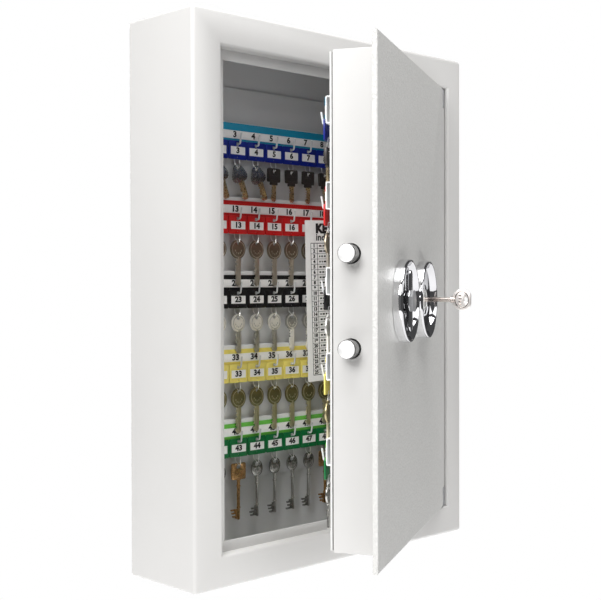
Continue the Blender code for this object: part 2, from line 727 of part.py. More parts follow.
def handle_spindle():
    """Shaft through the door with a crank disc and its pin."""
    inside = CRANK_BACK - 0.001
    shaft = rod("handle_spindle", "Y", HANDLE, FRONT - 0.0029, inside, SPINDLE_RADIUS, 20)
    disc = rod("disc", "Y", HANDLE, CRANK_FRONT, CRANK_BACK, CRANK_RADIUS + CRANK_MARGIN, 32)
    offset = CRANK_RADIUS / math.sqrt(2)
    place = HANDLE + Vector((offset, 0, -offset))
    pin = rod("pin", "Y", place, inside, BOLT_Y + CARRIAGE + 0.0005, CRANK_PIN_RADIUS, 16)
    return [paint(fuse(shaft, disc, pin), "zinc_steel")]


def bolt_carriage():
    """Plate that joins the bolts, with the crank slot and a tail with two locking notches."""
    left = BOX_LEFT - BOLT_SHOWS + BOLT_LENGTH + GAP
    upright = left + 0.014
    slot_x = HANDLE.x + CRANK_RADIUS / math.sqrt(2)
    slot_top = HANDLE.z - CRANK_RADIUS / math.sqrt(2) + CRANK_SLOT
    slot_bottom = HANDLE.z - CRANK_RADIUS - CRANK_SLOT
    cheek = slot_x + CRANK_SLOT + 0.006
    tail_bottom, notch_bottom = TAIL_TOP - TAIL_HEIGHT, TAIL_TOP - 0.0068
    half_notch = DEADBOLT_WIDTH / 2 + 0.0005
    notches = []
    for middle in (LOCK.x + BOLT_TRAVEL, LOCK.x):
        notches += [
            (middle + half_notch, TAIL_TOP),
            (middle + half_notch, notch_bottom),
            (middle - half_notch, notch_bottom),
            (middle - half_notch, TAIL_TOP),
        ]
    outline = [
        (left, tail_bottom),
        (LOCK.x + BOLT_TRAVEL + 0.012, tail_bottom),
        (LOCK.x + BOLT_TRAVEL + 0.012, TAIL_TOP),
        *notches,
        (upright, TAIL_TOP),
        (upright, slot_bottom - 0.006),
        (cheek, slot_bottom - 0.006),
        (cheek, slot_top + 0.006),
        (upright, slot_top + 0.006),
        (upright, BOLT_HEIGHTS["upper"] + 0.012),
        (left, BOLT_HEIGHTS["upper"] + 0.012),
    ]
    slot = rectangle(slot_x - CRANK_SLOT, slot_bottom, slot_x + CRANK_SLOT, slot_top)
    y = BOLT_Y - CARRIAGE / 2
    carriage = extrusion("bolt_carriage", "Y", y, y + CARRIAGE, outline, slot)
    return [paint(carriage, "zinc_steel")]


def bolts():
    made = []
    tip = BOX_LEFT - BOLT_SHOWS
    for name, z in BOLT_HEIGHTS.items():
        bolt = rod(f"{name}_bolt", "X", (0, BOLT_Y, z), tip, tip + BOLT_LENGTH, BOLT_RADIUS, 28)
        round_edges(bolt, 0.0015, 2, lambda a, b: all_near((a, b), "X", tip))
        made.append(paint(smooth(bolt), "zinc_steel"))
    return made


def lock_curtain():
    """Round plug that the key goes through and turns."""
    plug = rod("lock_curtain", "Y", LOCK, CURTAIN_FRONT, CURTAIN_BACK, CURTAIN_RADIUS, 32)
    half = Vector((KEY_BIT / 2 + 0.0004, 0.05, KEY_BIT_SPAN / 2 + 0.0004))
    keyway = box("keyway", LOCK - half, LOCK + half)
    hole = rod("key_hole", "Y", LOCK, FRONT - 0.05, FRONT + 0.05, KEY_HOLE, 16)
    return [paint(cut(plug, keyway, hole), "zinc_steel")]


def lock_deadbolt():
    low = (LOCK.x - DEADBOLT_WIDTH / 2, BOLT_Y - DEADBOLT / 2, TAIL_TOP + 0.001)
    high = (LOCK.x + DEADBOLT_WIDTH / 2, BOLT_Y + DEADBOLT / 2, low[2] + DEADBOLT_LENGTH)
    return [paint(box("lock_deadbolt", low, high), "zinc_steel")]


def key():
    """Key with a bit on both sides of its shaft and a pierced oval bow."""
    shaft = rod("key", "Y", LOCK, BOW_START - 0.002, KEY_TIP, KEY_SHAFT, 16)
    collar_end = BOW_START - 0.001 + COLLAR
    collar = rod("collar", "Y", LOCK, BOW_START - 0.001, collar_end, COLLAR_RADIUS, 16)
    half = KEY_BIT_SPAN / 2
    steps = (half, half - 0.002, half - 0.0005, half - 0.003, half)
    length = (KEY_TIP - 0.0005 - CURTAIN_BACK - 0.001) / len(steps)
    edge = []
    for k, height in enumerate(steps):
        start = CURTAIN_BACK + 0.001 + k * length
        edge += [(start, height), (start + length, height)]
    bit_outline = [(y, LOCK.z - h) for y, h in edge] + [(y, LOCK.z + h) for y, h in edge[::-1]]
    bit = extrusion("bit", "X", LOCK.x - KEY_BIT / 2, LOCK.x + KEY_BIT / 2, bit_outline)
    middle = (BOW_START + BOW_END) / 2
    stretch = BOW_HALF_HEIGHT / abs(BOW_START - BOW_END) * 2
    oval = [
        (y, LOCK.z + (z - LOCK.z) * stretch)
        for y, z in ring_of((middle, LOCK.z), abs(BOW_START - BOW_END) / 2, 24)
    ]
    eye = ring_of((BOW_END + 0.0055, LOCK.z), BOW_EYE, 12)
    across = BOW_THICKNESS / 2
    bow = extrusion("bow", "X", LOCK.x - across, LOCK.x + across, oval, eye)
    return [paint(fuse(shaft, collar, bit, bow), "key_nickel")]


# --- Assembly -----------------------------------------------------------------------------


def empty(name, place, parent=None):
    """A guide on a joint's axis, hung on the joint before it."""
    obj = bpy.data.objects.new(name, None)
    obj.empty_display_size = 0.03
    obj.location = place
    bpy.data.collections["key_cabinet"].objects.link(obj)
    if parent:
        hang([obj], parent)
    return obj


def hang(objects, parent):
    """Parent objects to another and leave them where they are."""
    bpy.context.view_layer.update()
    for obj in objects:
        obj.parent = parent
        obj.matrix_parent_inverse = parent.matrix_world.inverted()


def main():
    start_scene()
    cabinet = empty("cabinet", (0, 0, 0))
    door_hinge = empty("door_hinge", HINGE)
    handle_axis = empty("handle_axis", HANDLE, door_hinge)
    bolt_slide = empty("bolt_slide", (BOX_LEFT, BOLT_Y, HANDLE.z), door_hinge)
    key_axis = empty("key_axis", LOCK, door_hinge)
    deadbolt_slide = empty("deadbolt_slide", (LOCK.x, BOLT_Y, TAIL_TOP), door_hinge)
    assembly = {
        cabinet: (
            cabinet_shell,
            back_panel,
            wall_bolts,
            door_stop_frame,
            hinge_pins,
            hook_board,
            body_rows,
            index_card,
        ),
        door_hinge: (
            door_plate,
            door_hinge_strip,
            hinge_knuckles,
            door_box,
            door_liner,
            door_rows,
            dishes,
            lock_case,
            bolt_guides,
        ),
        handle_axis: (handle_grip, handle_spindle),
        bolt_slide: (bolt_carriage, bolts),
        key_axis: (lock_curtain, key),
        deadbolt_slide: (lock_deadbolt,),
    }
    for parent, makers in assembly.items():
        for make in makers:
            hang(make(), parent)
    door_hinge.rotation_euler.z = DOOR_REST_ANGLE


main()
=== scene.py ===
"""Finished look of a wall-mounted key cabinet: powder-coated steel, chrome lock
furniture, and a hundred numbered tags with keys on hook bars in the body and door.

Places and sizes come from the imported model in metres. Small shapes are drawn in
millimetres and scaled when they are put in place.
"""

import json
import math
import random

import bmesh
import bpy
from mathutils import Matrix, Vector

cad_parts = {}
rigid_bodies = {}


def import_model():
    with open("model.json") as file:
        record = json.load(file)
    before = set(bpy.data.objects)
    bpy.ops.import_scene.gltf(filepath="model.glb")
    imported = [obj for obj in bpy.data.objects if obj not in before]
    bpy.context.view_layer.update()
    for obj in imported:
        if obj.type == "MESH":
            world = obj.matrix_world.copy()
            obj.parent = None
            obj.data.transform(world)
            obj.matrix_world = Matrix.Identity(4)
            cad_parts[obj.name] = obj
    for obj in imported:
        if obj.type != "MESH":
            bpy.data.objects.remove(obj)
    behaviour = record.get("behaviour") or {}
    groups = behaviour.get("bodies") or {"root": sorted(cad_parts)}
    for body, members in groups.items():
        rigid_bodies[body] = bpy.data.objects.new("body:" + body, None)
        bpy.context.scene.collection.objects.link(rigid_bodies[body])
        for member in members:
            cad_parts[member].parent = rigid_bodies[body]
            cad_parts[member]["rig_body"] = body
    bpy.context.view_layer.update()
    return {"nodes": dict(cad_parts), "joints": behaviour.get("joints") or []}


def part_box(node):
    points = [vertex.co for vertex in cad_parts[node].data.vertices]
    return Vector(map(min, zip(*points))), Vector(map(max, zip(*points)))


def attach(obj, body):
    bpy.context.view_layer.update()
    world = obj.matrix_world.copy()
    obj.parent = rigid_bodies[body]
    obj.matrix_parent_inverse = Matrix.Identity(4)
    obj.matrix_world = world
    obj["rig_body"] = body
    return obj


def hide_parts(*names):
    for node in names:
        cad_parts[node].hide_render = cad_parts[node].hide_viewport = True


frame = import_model()
NODES = frame["nodes"]
JOINTS = {joint["name"]: joint for joint in frame["joints"]}

MM = 0.001
HERE = Matrix.Identity(4)

# The door is packed open: this turn takes closed-door places to where they are at rest.
HINGE = Vector(JOINTS["door_swing"]["pos_m"])
DOOR_ANGLE = -math.radians(JOINTS["door_swing"]["range_deg"][0])
OPEN_DOOR = (
    Matrix.Translation(HINGE) @ Matrix.Rotation(DOOR_ANGLE, 4, "Z") @ Matrix.Translation(-HINGE)
)
CLOSE_DOOR = OPEN_DOOR.inverted()

# Hook rows, in millimetres: X from a hook's middle, Y from the centre of its tag's label and
# Z from the bar's front
ROWS, HOOKS, PITCH = 5, 10, 28.5
BAR_END, BAR_BOTTOM, BAR_BACK, HOOK_TIP = 20.0, 5.5, -6.0, 11.4
BAR_LENGTH = (HOOKS - 1) * PITCH + 2 * BAR_END
BANDS = (10.4, 14.2, 23.6, 28.6)  # bottom of the band, the numbers and the stripe, and its top
LEDGE_TOP = 33.5  # of the bar's rolled upper edge
TAG_WIDTH, TAG_BOTTOM, TAG_TOP, TAG_BACK, TAG_FRONT = 27.5, -10.0, 11.3, 2.6, 4.2
KEY_HEAD_TOP, KEY_HOLE_Y, KEY_BACK, KEY_FRONT = -16.8, -20.5, 2.4, 4.4
KEY_ENDS = (-56, -70, -62, -69, -83)
DOOR_KEY_ENDS = (*KEY_ENDS[:-1], -62)
SCALLOPED_KEYS = 4  # how many of row 1's keys have a scalloped head
COPPER_KEYS = (2, 7)  # hooks of row 5, from 0
ROW_COLOURS = ("blue", "red", "black", "yellow", "green")
BAND_FINISHES = ("teal_band", "red_band", "black_band", "yellow_band", "green_band")

CARD_HOOK, CARD_LEAN = 6, math.radians(1.6)  # the hook that carries the index card, from 0
SHARP = 35  # degrees between faces from which an edge stays sharp

# --- Finishes -----------------------------------------------------------------------------


def tones(colour, spread):
    """A slightly darker and a slightly lighter tone of a colour."""
    return [tuple(c * (1 + side * spread) for c in colour) for side in (-1, 1)]


def surface(name, colour, roughness, metallic=0.0, *, spread, drift, grain, depth=0.02,
            stretch=(1, 1, 1), coat=0.0):
    """A material whose colour drifts between two tones, with uneven gloss and a fine relief.

    drift and grain are noise scales per metre and depth is the relief in millimetres.
    """
    gloss_play = 0.12
    made = bpy.data.materials.new(name)
    made.use_nodes = True
    tree = made.node_tree
    shader = tree.nodes["Principled BSDF"]
    shader.inputs["Metallic"].default_value = metallic
    shader.inputs["Coat Weight"].default_value = coat

    def node(kind, **values):
        new = tree.nodes.new(kind)
        for key, value in values.items():
            new.inputs[key.replace("_", " ")].default_value = value
        return new

    place = tree.nodes.new("ShaderNodeTexCoord")
    mapping = node("ShaderNodeMapping", Scale=stretch)
    tree.links.new(place.outputs["Object"], mapping.inputs["Vector"])

    def noise(scale, roughening):
        clouds = node("ShaderNodeTexNoise", Scale=scale, Detail=roughening)
        tree.links.new(mapping.outputs["Vector"], clouds.inputs["Vector"])
        return clouds.outputs["Fac"]

    ramp = tree.nodes.new("ShaderNodeValToRGB")
    for stop, position, tone in zip(ramp.color_ramp.elements, (0.35, 0.65), tones(colour, spread)):
        stop.position = position
        stop.color = (*tone, 1)
    tree.links.new(noise(drift, 4), ramp.inputs["Fac"])
    tree.links.new(ramp.outputs["Color"], shader.inputs["Base Color"])
    low, high = roughness * (1 - gloss_play), roughness * (1 + gloss_play)
    gloss = node("ShaderNodeMapRange", From_Min=0.3, From_Max=0.7, To_Min=low, To_Max=high)
    tree.links.new(noise(drift * 6, 3), gloss.inputs["Value"])
    tree.links.new(gloss.outputs["Result"], shader.inputs["Roughness"])
    relief = node("ShaderNodeBump", Strength=1.0, Distance=depth * MM)
    tree.links.new(noise(grain, 2), relief.inputs["Height"])
    tree.links.new(relief.outputs["Normal"], shader.inputs["Normal"])
    return made


PLASTIC = dict(roughness=0.34, spread=0.06, drift=60, grain=1400, depth=0.02, coat=0.15)
PAINT = dict(roughness=0.42, spread=0.012, drift=7, grain=750, depth=0.05)
METAL = dict(metallic=1.0, grain=1500, depth=0.003, spread=0.06, drift=90)

CHROME = dict(roughness=0.055, metallic=1.0, spread=0.02, drift=30, grain=900, depth=0.002)
TURNED = (6, 6, 1)  # stretch of a lathe's marks on a lying bolt

PAINTS = {
    "cabinet_paint": (0.537, 0.53, 0.519),
    # the same grey as the body's paint, made lighter to make up for light that falls short inside:
    # painted light
    "inner_paint": (0.64, 0.645, 0.643),
    "liner_paint": (0.62, 0.62, 0.61),
    "bar_paint": (0.80, 0.81, 0.81),
}
PLASTICS = {
    # black plastic of the capped keys' heads, also the painted shade in the door's gap
    "key_plastic_and_gap_shade": (0.035, 0.030, 0.026),
    "blue": (0.002, 0.014, 0.24),
    "red": (0.62, 0.012, 0.012),
    "black": (0.006, 0.006, 0.007),
    "yellow": (0.90, 0.77, 0.19),
    "green": (0.001, 0.155, 0.04),
    "teal_band": (0.005, 0.29, 0.48),
    "red_band": (0.60, 0.012, 0.012),
    "black_band": (0.006, 0.006, 0.007),
    "yellow_band": (0.88, 0.74, 0.16),
    "green_band": (0.16, 0.58, 0.08),
}
METALS = {  # colour and roughness
    "ring_wire": ((0.95, 0.95, 0.94), 0.30),
    "lock_nickel": ((0.97, 0.92, 0.89), 0.40),
    # a darker nickel for the lock key's rings, marks and shaft
    "darker_lock_nickel": ((0.56, 0.50, 0.46), 0.22),
    "nickel": ((0.62, 0.61, 0.58), 0.36),
    "bronze": ((0.36, 0.31, 0.235), 0.36),
    # a lighter copy of the bronze: painted highlight on row 2's blades, lines, rims and marks
    "bronze_painted_highlight": ((0.80, 0.74, 0.64), 0.34),
    "olive_brass": ((0.34, 0.30, 0.17), 0.36),
    # a lighter copy of the olive brass: painted highlight on row 4's blades, lines, rims and marks
    "brass_painted_highlight": ((0.80, 0.72, 0.52), 0.34),
    "brass": ((0.62, 0.50, 0.30), 0.28),
    "copper_brass": ((0.52, 0.31, 0.135), 0.28),
    "dark_nickel": ((0.34, 0.34, 0.32), 0.26),
    "shaft_steel": ((0.60, 0.59, 0.56), 0.17),
}
OTHERS = {
    "door_paint": dict(
        colour=(0.552, 0.548, 0.533), roughness=0.42, spread=0.05, drift=330, grain=430, depth=0.7
    ),
    "hook": dict(colour=(0.66, 0.67, 0.67), roughness=0.35, spread=0.05, drift=120, grain=1500),
    "zinc": dict(colour=(0.60, 0.61, 0.63), roughness=0.34, stretch=(1, 1, 6), **METAL),
    "bolt_steel": dict(colour=(0.97, 0.97, 0.96), roughness=0.50, stretch=TURNED, **METAL),
    # a darker copy of the bolts' steel for their sides and broken edges: painted shade
    "bolt_painted_shade": dict(colour=(0.24, 0.24, 0.24), roughness=0.22, stretch=TURNED, **METAL),
    "chrome": dict(colour=(0.78, 0.78, 0.79), **CHROME),
    # a darker copy of the chrome for the dishes' insides and the grip's stem and bar: painted shade
    "painted_shade_chrome": dict(colour=(0.42, 0.42, 0.43), **CHROME),
    "satin": dict(colour=(0.27, 0.272, 0.28), roughness=0.42, spread=0.06, drift=90, grain=1500),
    "bright_nickel": dict(
        colour=(0.95, 0.92, 0.84), roughness=0.34, **{**METAL, "metallic": 0.4}
    ),
    "paper": dict(colour=(0.96, 0.955, 0.94), roughness=0.6, spread=0.03, drift=90, grain=2600),
    # black for print, also the painted shade in the lock's slot
    "ink": dict(colour=(0.012, 0.012, 0.013), roughness=0.5, spread=0.2, drift=400, grain=2600),
}
FINISH = {name: surface(name, colour, **PAINT) for name, colour in PAINTS.items()}
FINISH |= {name: surface(name, colour, **PLASTIC) for name, colour in PLASTICS.items()}
FINISH |= {name: surface(name, *values, **METAL) for name, values in METALS.items()}
FINISH |= {name: surface(name, **values) for name, values in OTHERS.items()}

# --- Shapes -------------------------------------------------------------------------------


def evaluated(data):
    """The welded bmesh of a curve or text."""
    obj = bpy.data.objects.new("drawn", data)
    bpy.context.scene.collection.objects.link(obj)
    bpy.context.view_layer.update()
    mesh = bpy.data.meshes.new_from_object(
        obj.evaluated_get(bpy.context.evaluated_depsgraph_get())
    )
    shape = bmesh.new()
    shape.from_mesh(mesh)
    bmesh.ops.remove_doubles(shape, verts=shape.verts, dist=0.001)
    bmesh.ops.recalc_face_normals(shape, faces=shape.faces)
    bpy.data.objects.remove(obj)
    bpy.data.meshes.remove(mesh)
    return shape


def curve_data(loops, closed, dimensions):
    """A curve with a straight-sided spline for each loop."""
    curve = bpy.data.curves.new("drawn", "CURVE")
    curve.dimensions = dimensions
    for loop in loops:
        spline = curve.splines.new("POLY")
        spline.points.add(len(loop) - 1)
        for point, co in zip(spline.points, loop):
            point.co = (*co, *(0,) * (3 - len(co)), 1)
        spline.use_cyclic_u = closed
    return curve


def plate(loops, low, high, edge=0.2):
    """A flat outline with holes, from low to high along Z, with its edges rounded."""
    curve = curve_data(loops, True, "2D")
    curve.fill_mode = "BOTH"
    curve.extrude = (high - low) / 2 - edge
    curve.bevel_depth, curve.bevel_resolution, curve.offset = edge, 1, -edge
    shape = evaluated(curve)
    bmesh.ops.translate(shape, vec=(0, 0, (low + high) / 2), verts=shape.verts)
    return shape


def wire(points, radius, closed=False):
    """A round bar along a path."""
    curve = curve_data([points], closed, "3D")
    curve.bevel_depth, curve.bevel_resolution, curve.use_fill_caps = radius, 2, True
    return evaluated(curve)


def lettering(words, size, place, bold, align="CENTER"):
    """Wide, raised characters at a place; bold is how far they are thickened, in text sizes."""
    text = bpy.data.curves.new("words", "FONT")
    text.body, text.size, text.offset = words, size, bold * size
    text.align_x, text.align_y = align, "CENTER"
    text.resolution_u, text.extrude = 3, 0.03
    widening = 1.16
    shape = evaluated(text)
    bmesh.ops.scale(shape, vec=(widening, 1, 1), verts=shape.verts)
    bmesh.ops.translate(shape, vec=place, verts=shape.verts)
    return shape


def block(low, high, edge=0.0):
    """A box between two corners with rounded edges."""
    low, high = Vector(low), Vector(high)
    shape = bmesh.new()
    bmesh.ops.create_cube(shape, size=1)
    bmesh.ops.scale(shape, vec=high - low, verts=shape.verts)
    bmesh.ops.translate(shape, vec=(low + high) / 2, verts=shape.verts)
    if edge:
        bmesh.ops.bevel(
            shape, geom=shape.edges[:], offset=edge, segments=2, profile=0.5, affect="EDGES"
        )
    return shape


def lathe(profile, steps):
    """A closed profile of (radius, height) turned about Z."""
    shape = bmesh.new()
    rings = []
    for k in range(steps):
        angle = math.tau * k / steps
        c, s = math.cos(angle), math.sin(angle)
        rings.append([shape.verts.new((r * c, r * s, h)) for r, h in profile])
    for k, ring in enumerate(rings):
        beside = rings[(k + 1) % steps]
        for a in range(len(profile)):
            b = (a + 1) % len(profile)
            shape.faces.new((ring[a], beside[a], beside[b], ring[b]))
    bmesh.ops.remove_doubles(shape, verts=shape.verts, dist=0.0001)
    bmesh.ops.recalc_face_normals(shape, faces=shape.faces)
    return shape


def joined(*parts):
    """One bmesh from (finish index, shape) pairs."""
    whole = bmesh.new()
    for index, shape in parts:
        for face in shape.faces:
            face.material_index = index
        mesh = bpy.data.meshes.new("part")
        shape.to_mesh(mesh)
        shape.free()
        whole.from_mesh(mesh)
        bpy.data.meshes.remove(mesh)
    return whole


def moved(shape, matrix):
    """The shape, put in place by a matrix."""
    bmesh.ops.transform(shape, matrix=matrix, verts=shape.verts)
    return shape


def arc(centre, radius_x, radius_y, start, stop, steps):
    """Points on an ellipse from one angle to another, in degrees."""
    angles = (math.radians(start + (stop - start) * k / steps) for k in range(steps + 1))
    return [
        (centre[0] + radius_x * math.cos(a), centre[1] + radius_y * math.sin(a)) for a in angles
    ]


def circle(centre, radius, steps):
    """Points on a circle, without the last one over the first."""
    return arc(centre, radius, radius, 0, 360 - 360 / steps, steps - 1)


def rounded_rectangle(left, bottom, right, top, corner, steps=4):
    """An outline whose corners are quarter circles."""
    inner = (left + corner, right - corner, bottom + corner, top - corner)
    points = []
    for x, y, start in (
        (inner[1], inner[2], -90),
        (inner[1], inner[3], 0),
        (inner[0], inner[3], 90),
        (inner[0], inner[2], 180),
    ):
        points += arc((x, y), corner, corner, start, start + 90, steps)
    return points


def rounded_path(points, radius, closed=False, steps=4):
    """A polyline with its corners turned into short curves."""
    points = [Vector(p) for p in points]
    count = len(points)
    path = []
    for k, point in enumerate(points):
        if not closed and k in (0, count - 1):
            path.append(tuple(point))
            continue
        before, after = points[k - 1] - point, points[(k + 1) % count] - point
        reach = min(radius, before.length / 2.1, after.length / 2.1)
        start, stop = point + before.normalized() * reach, point + after.normalized() * reach
        for n in range(steps + 1):
            t = n / steps
            path.append(tuple(start * (1 - t) ** 2 + point * 2 * t * (1 - t) + stop * t ** 2))
    return path


# --- Pieces -------------------------------------------------------------------------------


def mesh_of(name, shape, finishes, scale=MM, smooth=SHARP):
    """A mesh in metres from a shape in millimetres, smooth except at its sharp edges."""
    bmesh.ops.scale(shape, vec=(scale,) * 3, verts=shape.verts)
    mesh = bpy.data.meshes.new(name)
    shape.to_mesh(mesh)
    shape.free()
    for finish in finishes:
        mesh.materials.append(FINISH[finish])
    mesh.shade_smooth()
    mesh.set_sharp_from_angle(angle=math.radians(smooth))
    return mesh


def piece(name, mesh, body, place=HERE, stands_for=()):
    """A visible piece that rides on a body."""
    obj = bpy.data.objects.new(name, mesh)
    bpy.context.scene.collection.objects.link(obj)
    obj.matrix_world = place
    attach(obj, body)
    if stands_for:
        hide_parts(*stands_for)
    return obj


def refined(node, finish, edge):
    """A copy of a CAD node with flush faces merged, its sharp edges broken and smooth shading."""
    shape = bmesh.new()
    shape.from_mesh(NODES[node].data)
    bmesh.ops.remove_doubles(shape, verts=shape.verts, dist=1e-6)
    bmesh.ops.dissolve_limit(
        shape, angle_limit=math.radians(0.3), verts=shape.verts, edges=shape.edges
    )
    mesh = mesh_of(node + "_finish", shape, [finish], 1.0)
    obj = piece(node + "_finish", mesh, NODES[node]["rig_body"])
    bevel = obj.modifiers.new("broken_edges", "BEVEL")
    bevel.width = edge * MM
    bevel.segments = 2
    bevel.limit_method = "ANGLE"
    bevel.angle_limit = math.radians(SHARP)
    bevel.harden_normals = True
    bevel.use_clamp_overlap = True
    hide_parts(node)
    return obj


def closed_box(node):
    """Lowest and highest corners of a door piece as it is with the door shut."""
    points = [CLOSE_DOOR @ v.co for v in NODES[node].data.vertices]
    return [Vector([pick(p[k] for p in points) for k in range(3)]) for pick in (min, max)]


# --- Hook rows ----------------------------------------------------------------------------


def row_place(prefix, row):
    """Frame of a row: from its first hook as read, X along the row, Y up and Z to the reader."""
    node = f"{prefix}hook_bar_{row + 1}"
    if prefix:
        low, high = closed_box(node)
        start = Vector((high.x - BAR_END * MM, high.y - HOOK_TIP * MM, low.z - BAR_BOTTOM * MM))
        turn = Matrix(((-1, 0, 0), (0, 0, 1), (0, 1, 0))).to_4x4()
        return OPEN_DOOR @ Matrix.Translation(start) @ turn
    low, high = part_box(node)
    start = Vector((low.x + BAR_END * MM, low.y + HOOK_TIP * MM, low.z - BAR_BOTTOM * MM))
    turn = Matrix(((1, 0, 0), (0, 0, -1), (0, 1, 0))).to_4x4()
    return Matrix.Translation(start) @ turn


def bar_shape():
    """A channel with rounded folds, along the row."""
    sheet, outer_fold, inner_fold, edge = 1.2, 1.6, 0.6, 0.15
    outer = [(BAR_BACK, BAR_BOTTOM), (0, BAR_BOTTOM), (0, LEDGE_TOP), (BAR_BACK, LEDGE_TOP)]
    inner = [
        (BAR_BACK, LEDGE_TOP - sheet),
        (-sheet, LEDGE_TOP - sheet),
        (-sheet, BAR_BOTTOM + sheet),
        (BAR_BACK, BAR_BOTTOM + sheet),
    ]
    corners = rounded_path([(*p, 0) for p in outer], outer_fold)
    corners += rounded_path([(*p, 0) for p in inner], inner_fold)
    shape = plate([[(a, b) for a, b, _ in corners]], 0, BAR_LENGTH, edge)
    along_row = Matrix(((0, 0, 1), (0, 1, 0), (1, 0, 0))).to_4x4()
    shape = moved(shape, Matrix.Translation((-BAR_END, 0, 0)) @ along_row)
    bmesh.ops.reverse_faces(shape, faces=shape.faces)
    return shape


def strip_shape(first_number, row):
    """A colour band, a white band with the numbers and a colour stripe, set on the bar."""
    inset, digit_size, digit_bold = 1.0, 9.4, 0.045
    left, right = inset - BAR_END, BAR_LENGTH - BAR_END - inset
    low_band, white, stripe, top = BANDS
    if row == 0:
        top = LEDGE_TOP - 1.5  # the first row's stripe covers the ledge
    back, white_front, front = 0.05, 0.75, 0.9
    parts = [
        (0, block((left, low_band, back), (right, white, front), 0.12)),
        (1, block((left, white, back), (right, stripe, white_front), 0.1)),
        (0, block((left, stripe, back), (right, top, front), 0.12)),
    ]
    for k in range(HOOKS):
        place = (k * PITCH - 1.5, (white + stripe) / 2, white_front + 0.03)
        parts.append((2, lettering(str(first_number + k), digit_size, place, digit_bold)))
    return joined(*parts)


def hook_shape():
    """A hook that comes out of the bar and turns up, leaning out a little."""
    foot, tip = 7.7, 20.4
    path = [(0, foot, -0.6), (0, foot, 8.2), (0, tip, 10.3)]
    return wire(rounded_path(path, 1.8), 1.05)


def tag_blank():
    """A tag with its hook hole, ring hole and a lip round the label."""
    half_tag, half_label, label_top, lip = TAG_WIDTH / 2, 11.0, 4.6, 1.0
    outline = rounded_rectangle(-half_tag, TAG_BOTTOM, half_tag, TAG_TOP, 1.4)
    hook_hole = rounded_rectangle(-2.3, 5.8, 2.3, 9.6, 0.9)
    ring_hole = circle((0, -7.4), 0.8, 10)
    body = plate([outline, hook_hole, ring_hole], TAG_BACK, TAG_FRONT, 0.25)
    x, y = half_label + lip, label_top + lip
    lip_outer = rounded_rectangle(-x, -y, x, y, 0.9)
    lip_inner = rounded_rectangle(-half_label, -label_top, half_label, label_top, 0.4)
    frame_lip = plate([lip_outer, lip_inner], TAG_FRONT - 0.1, TAG_FRONT + 0.35, 0.1)
    x, y = half_label + 0.1, label_top + 0.1
    label = block((-x, -y, TAG_FRONT - 0.1), (x, y, TAG_FRONT + 0.08))
    return joined((0, body), (0, frame_lip), (1, label))


def numbered_tag(number, blank, colour):
    """A tag with its number on the label."""
    digits = lettering(str(number), 8.8, (0, 0, TAG_FRONT + 0.1), 0.05)
    tag = moved(joined((2, digits)), Matrix.Scale(MM, 4))
    tag.from_mesh(blank)
    return mesh_of(f"tag_{number}", tag, (colour, "paper", "ink"), 1.0)


def ring_shape():
    """A wire clip: two legs from behind the tag meet in front of the key's hole and go through."""
    half = [(4.0, -6.5, 1.9), (4.0, -14.6, 2.7), (0.9, -19.4, 5.2), (0.6, KEY_HOLE_Y, 3.4)]
    path = [(-x, y, z) for x, y, z in half] + [(0, KEY_HOLE_Y + 0.3, 1.5)] + half[::-1]
    return wire(rounded_path(path, 1.2, closed=True, steps=3), 0.5, closed=True)


def toothed_blade(half_width, start, stop, dice):
    """A flat key's blade, cut with notches down its left edge."""
    notches, plain_top, plain_tip = 6, 3, 5
    edge = [(-half_width, start), (-half_width, start - plain_top)]
    pitch = (start - stop - plain_top - plain_tip) / notches
    for k in range(notches):
        depth = dice.choice((0.8, 1.4, 2.0, 2.6))
        y = start - plain_top - k * pitch
        edge += [
            (-half_width + depth, y - 0.35 * pitch),
            (-half_width + depth, y - 0.65 * pitch),
            (-half_width, y - pitch),
        ]
    edge += [(-half_width, stop + 3), (-half_width + 2.4, stop), (half_width - 1.6, stop)]
    return edge + [(half_width, stop + 2.2), (half_width, start)]


def flat_key(head, shoulder, end, dice, half_width=3.8, eye=2.3):
    """A cylinder key: a head with a hole, then a blade with two milled lines in a second finish."""
    hole = circle((0, KEY_HOLE_Y), eye, 14)
    parts = [(0, plate([head, hole], KEY_BACK - 0.1, KEY_FRONT + 0.1, 0.22))]
    blade = toothed_blade(half_width, shoulder + 2.5, end, dice)
    parts.append((1, plate([blade[::-1]], KEY_BACK, KEY_FRONT, 0.22)))
    for left, right, stop, height in ((-0.6, 0.9, end + 3, 0.35), (1.9, 2.7, end + 4, 0.25)):
        line = rounded_rectangle(left, stop, right, shoulder + 1, 0.3, 2)
        parts.append((1, plate([line], KEY_FRONT - 0.1, KEY_FRONT + height, 0.08)))
    return parts


def round_key(end, dice, radius, eye=2.3):
    """A key with a round head that has a raised rim and a few stamped marks."""
    centre = (0, KEY_HEAD_TOP - radius[1])
    shoulder = centre[1] - radius[1] * 0.9
    parts = flat_key(arc(centre, *radius, 0, 350, 35), shoulder, end, dice, eye=eye)
    ring = [arc(centre, r - 1.0, r - 1.2, 0, 350, 35) for r in (radius[0] - 0.4, radius[0] - 1.1)]
    parts.append((1, plate(ring, KEY_FRONT, KEY_FRONT + 0.35, 0.1)))
    for x, y in arc(centre, 4.8, 4.8, 200, 340, 4):
        mark = rounded_rectangle(x - 0.5, y - 1.0, x + 0.5, y + 1.0, 0.3, 2)
        parts.append((1, plate([mark], KEY_FRONT, KEY_FRONT + 0.35, 0.08)))
    return parts


def scalloped_key(end, dice):
    """A key with a three-lobed, scalloped head."""
    middle, radius, steps, head = -27.5, 10.6, 96, []
    for k in range(steps):
        angle = math.tau * k / steps
        reach = radius + 1.3 * math.sin(3 * angle + math.pi) + 0.35 * math.cos(24 * angle)
        head.append((reach * math.cos(angle), middle + reach * math.sin(angle)))
    return flat_key(head, -36.4, end - 2, dice, half_width=4.2, eye=2.0)


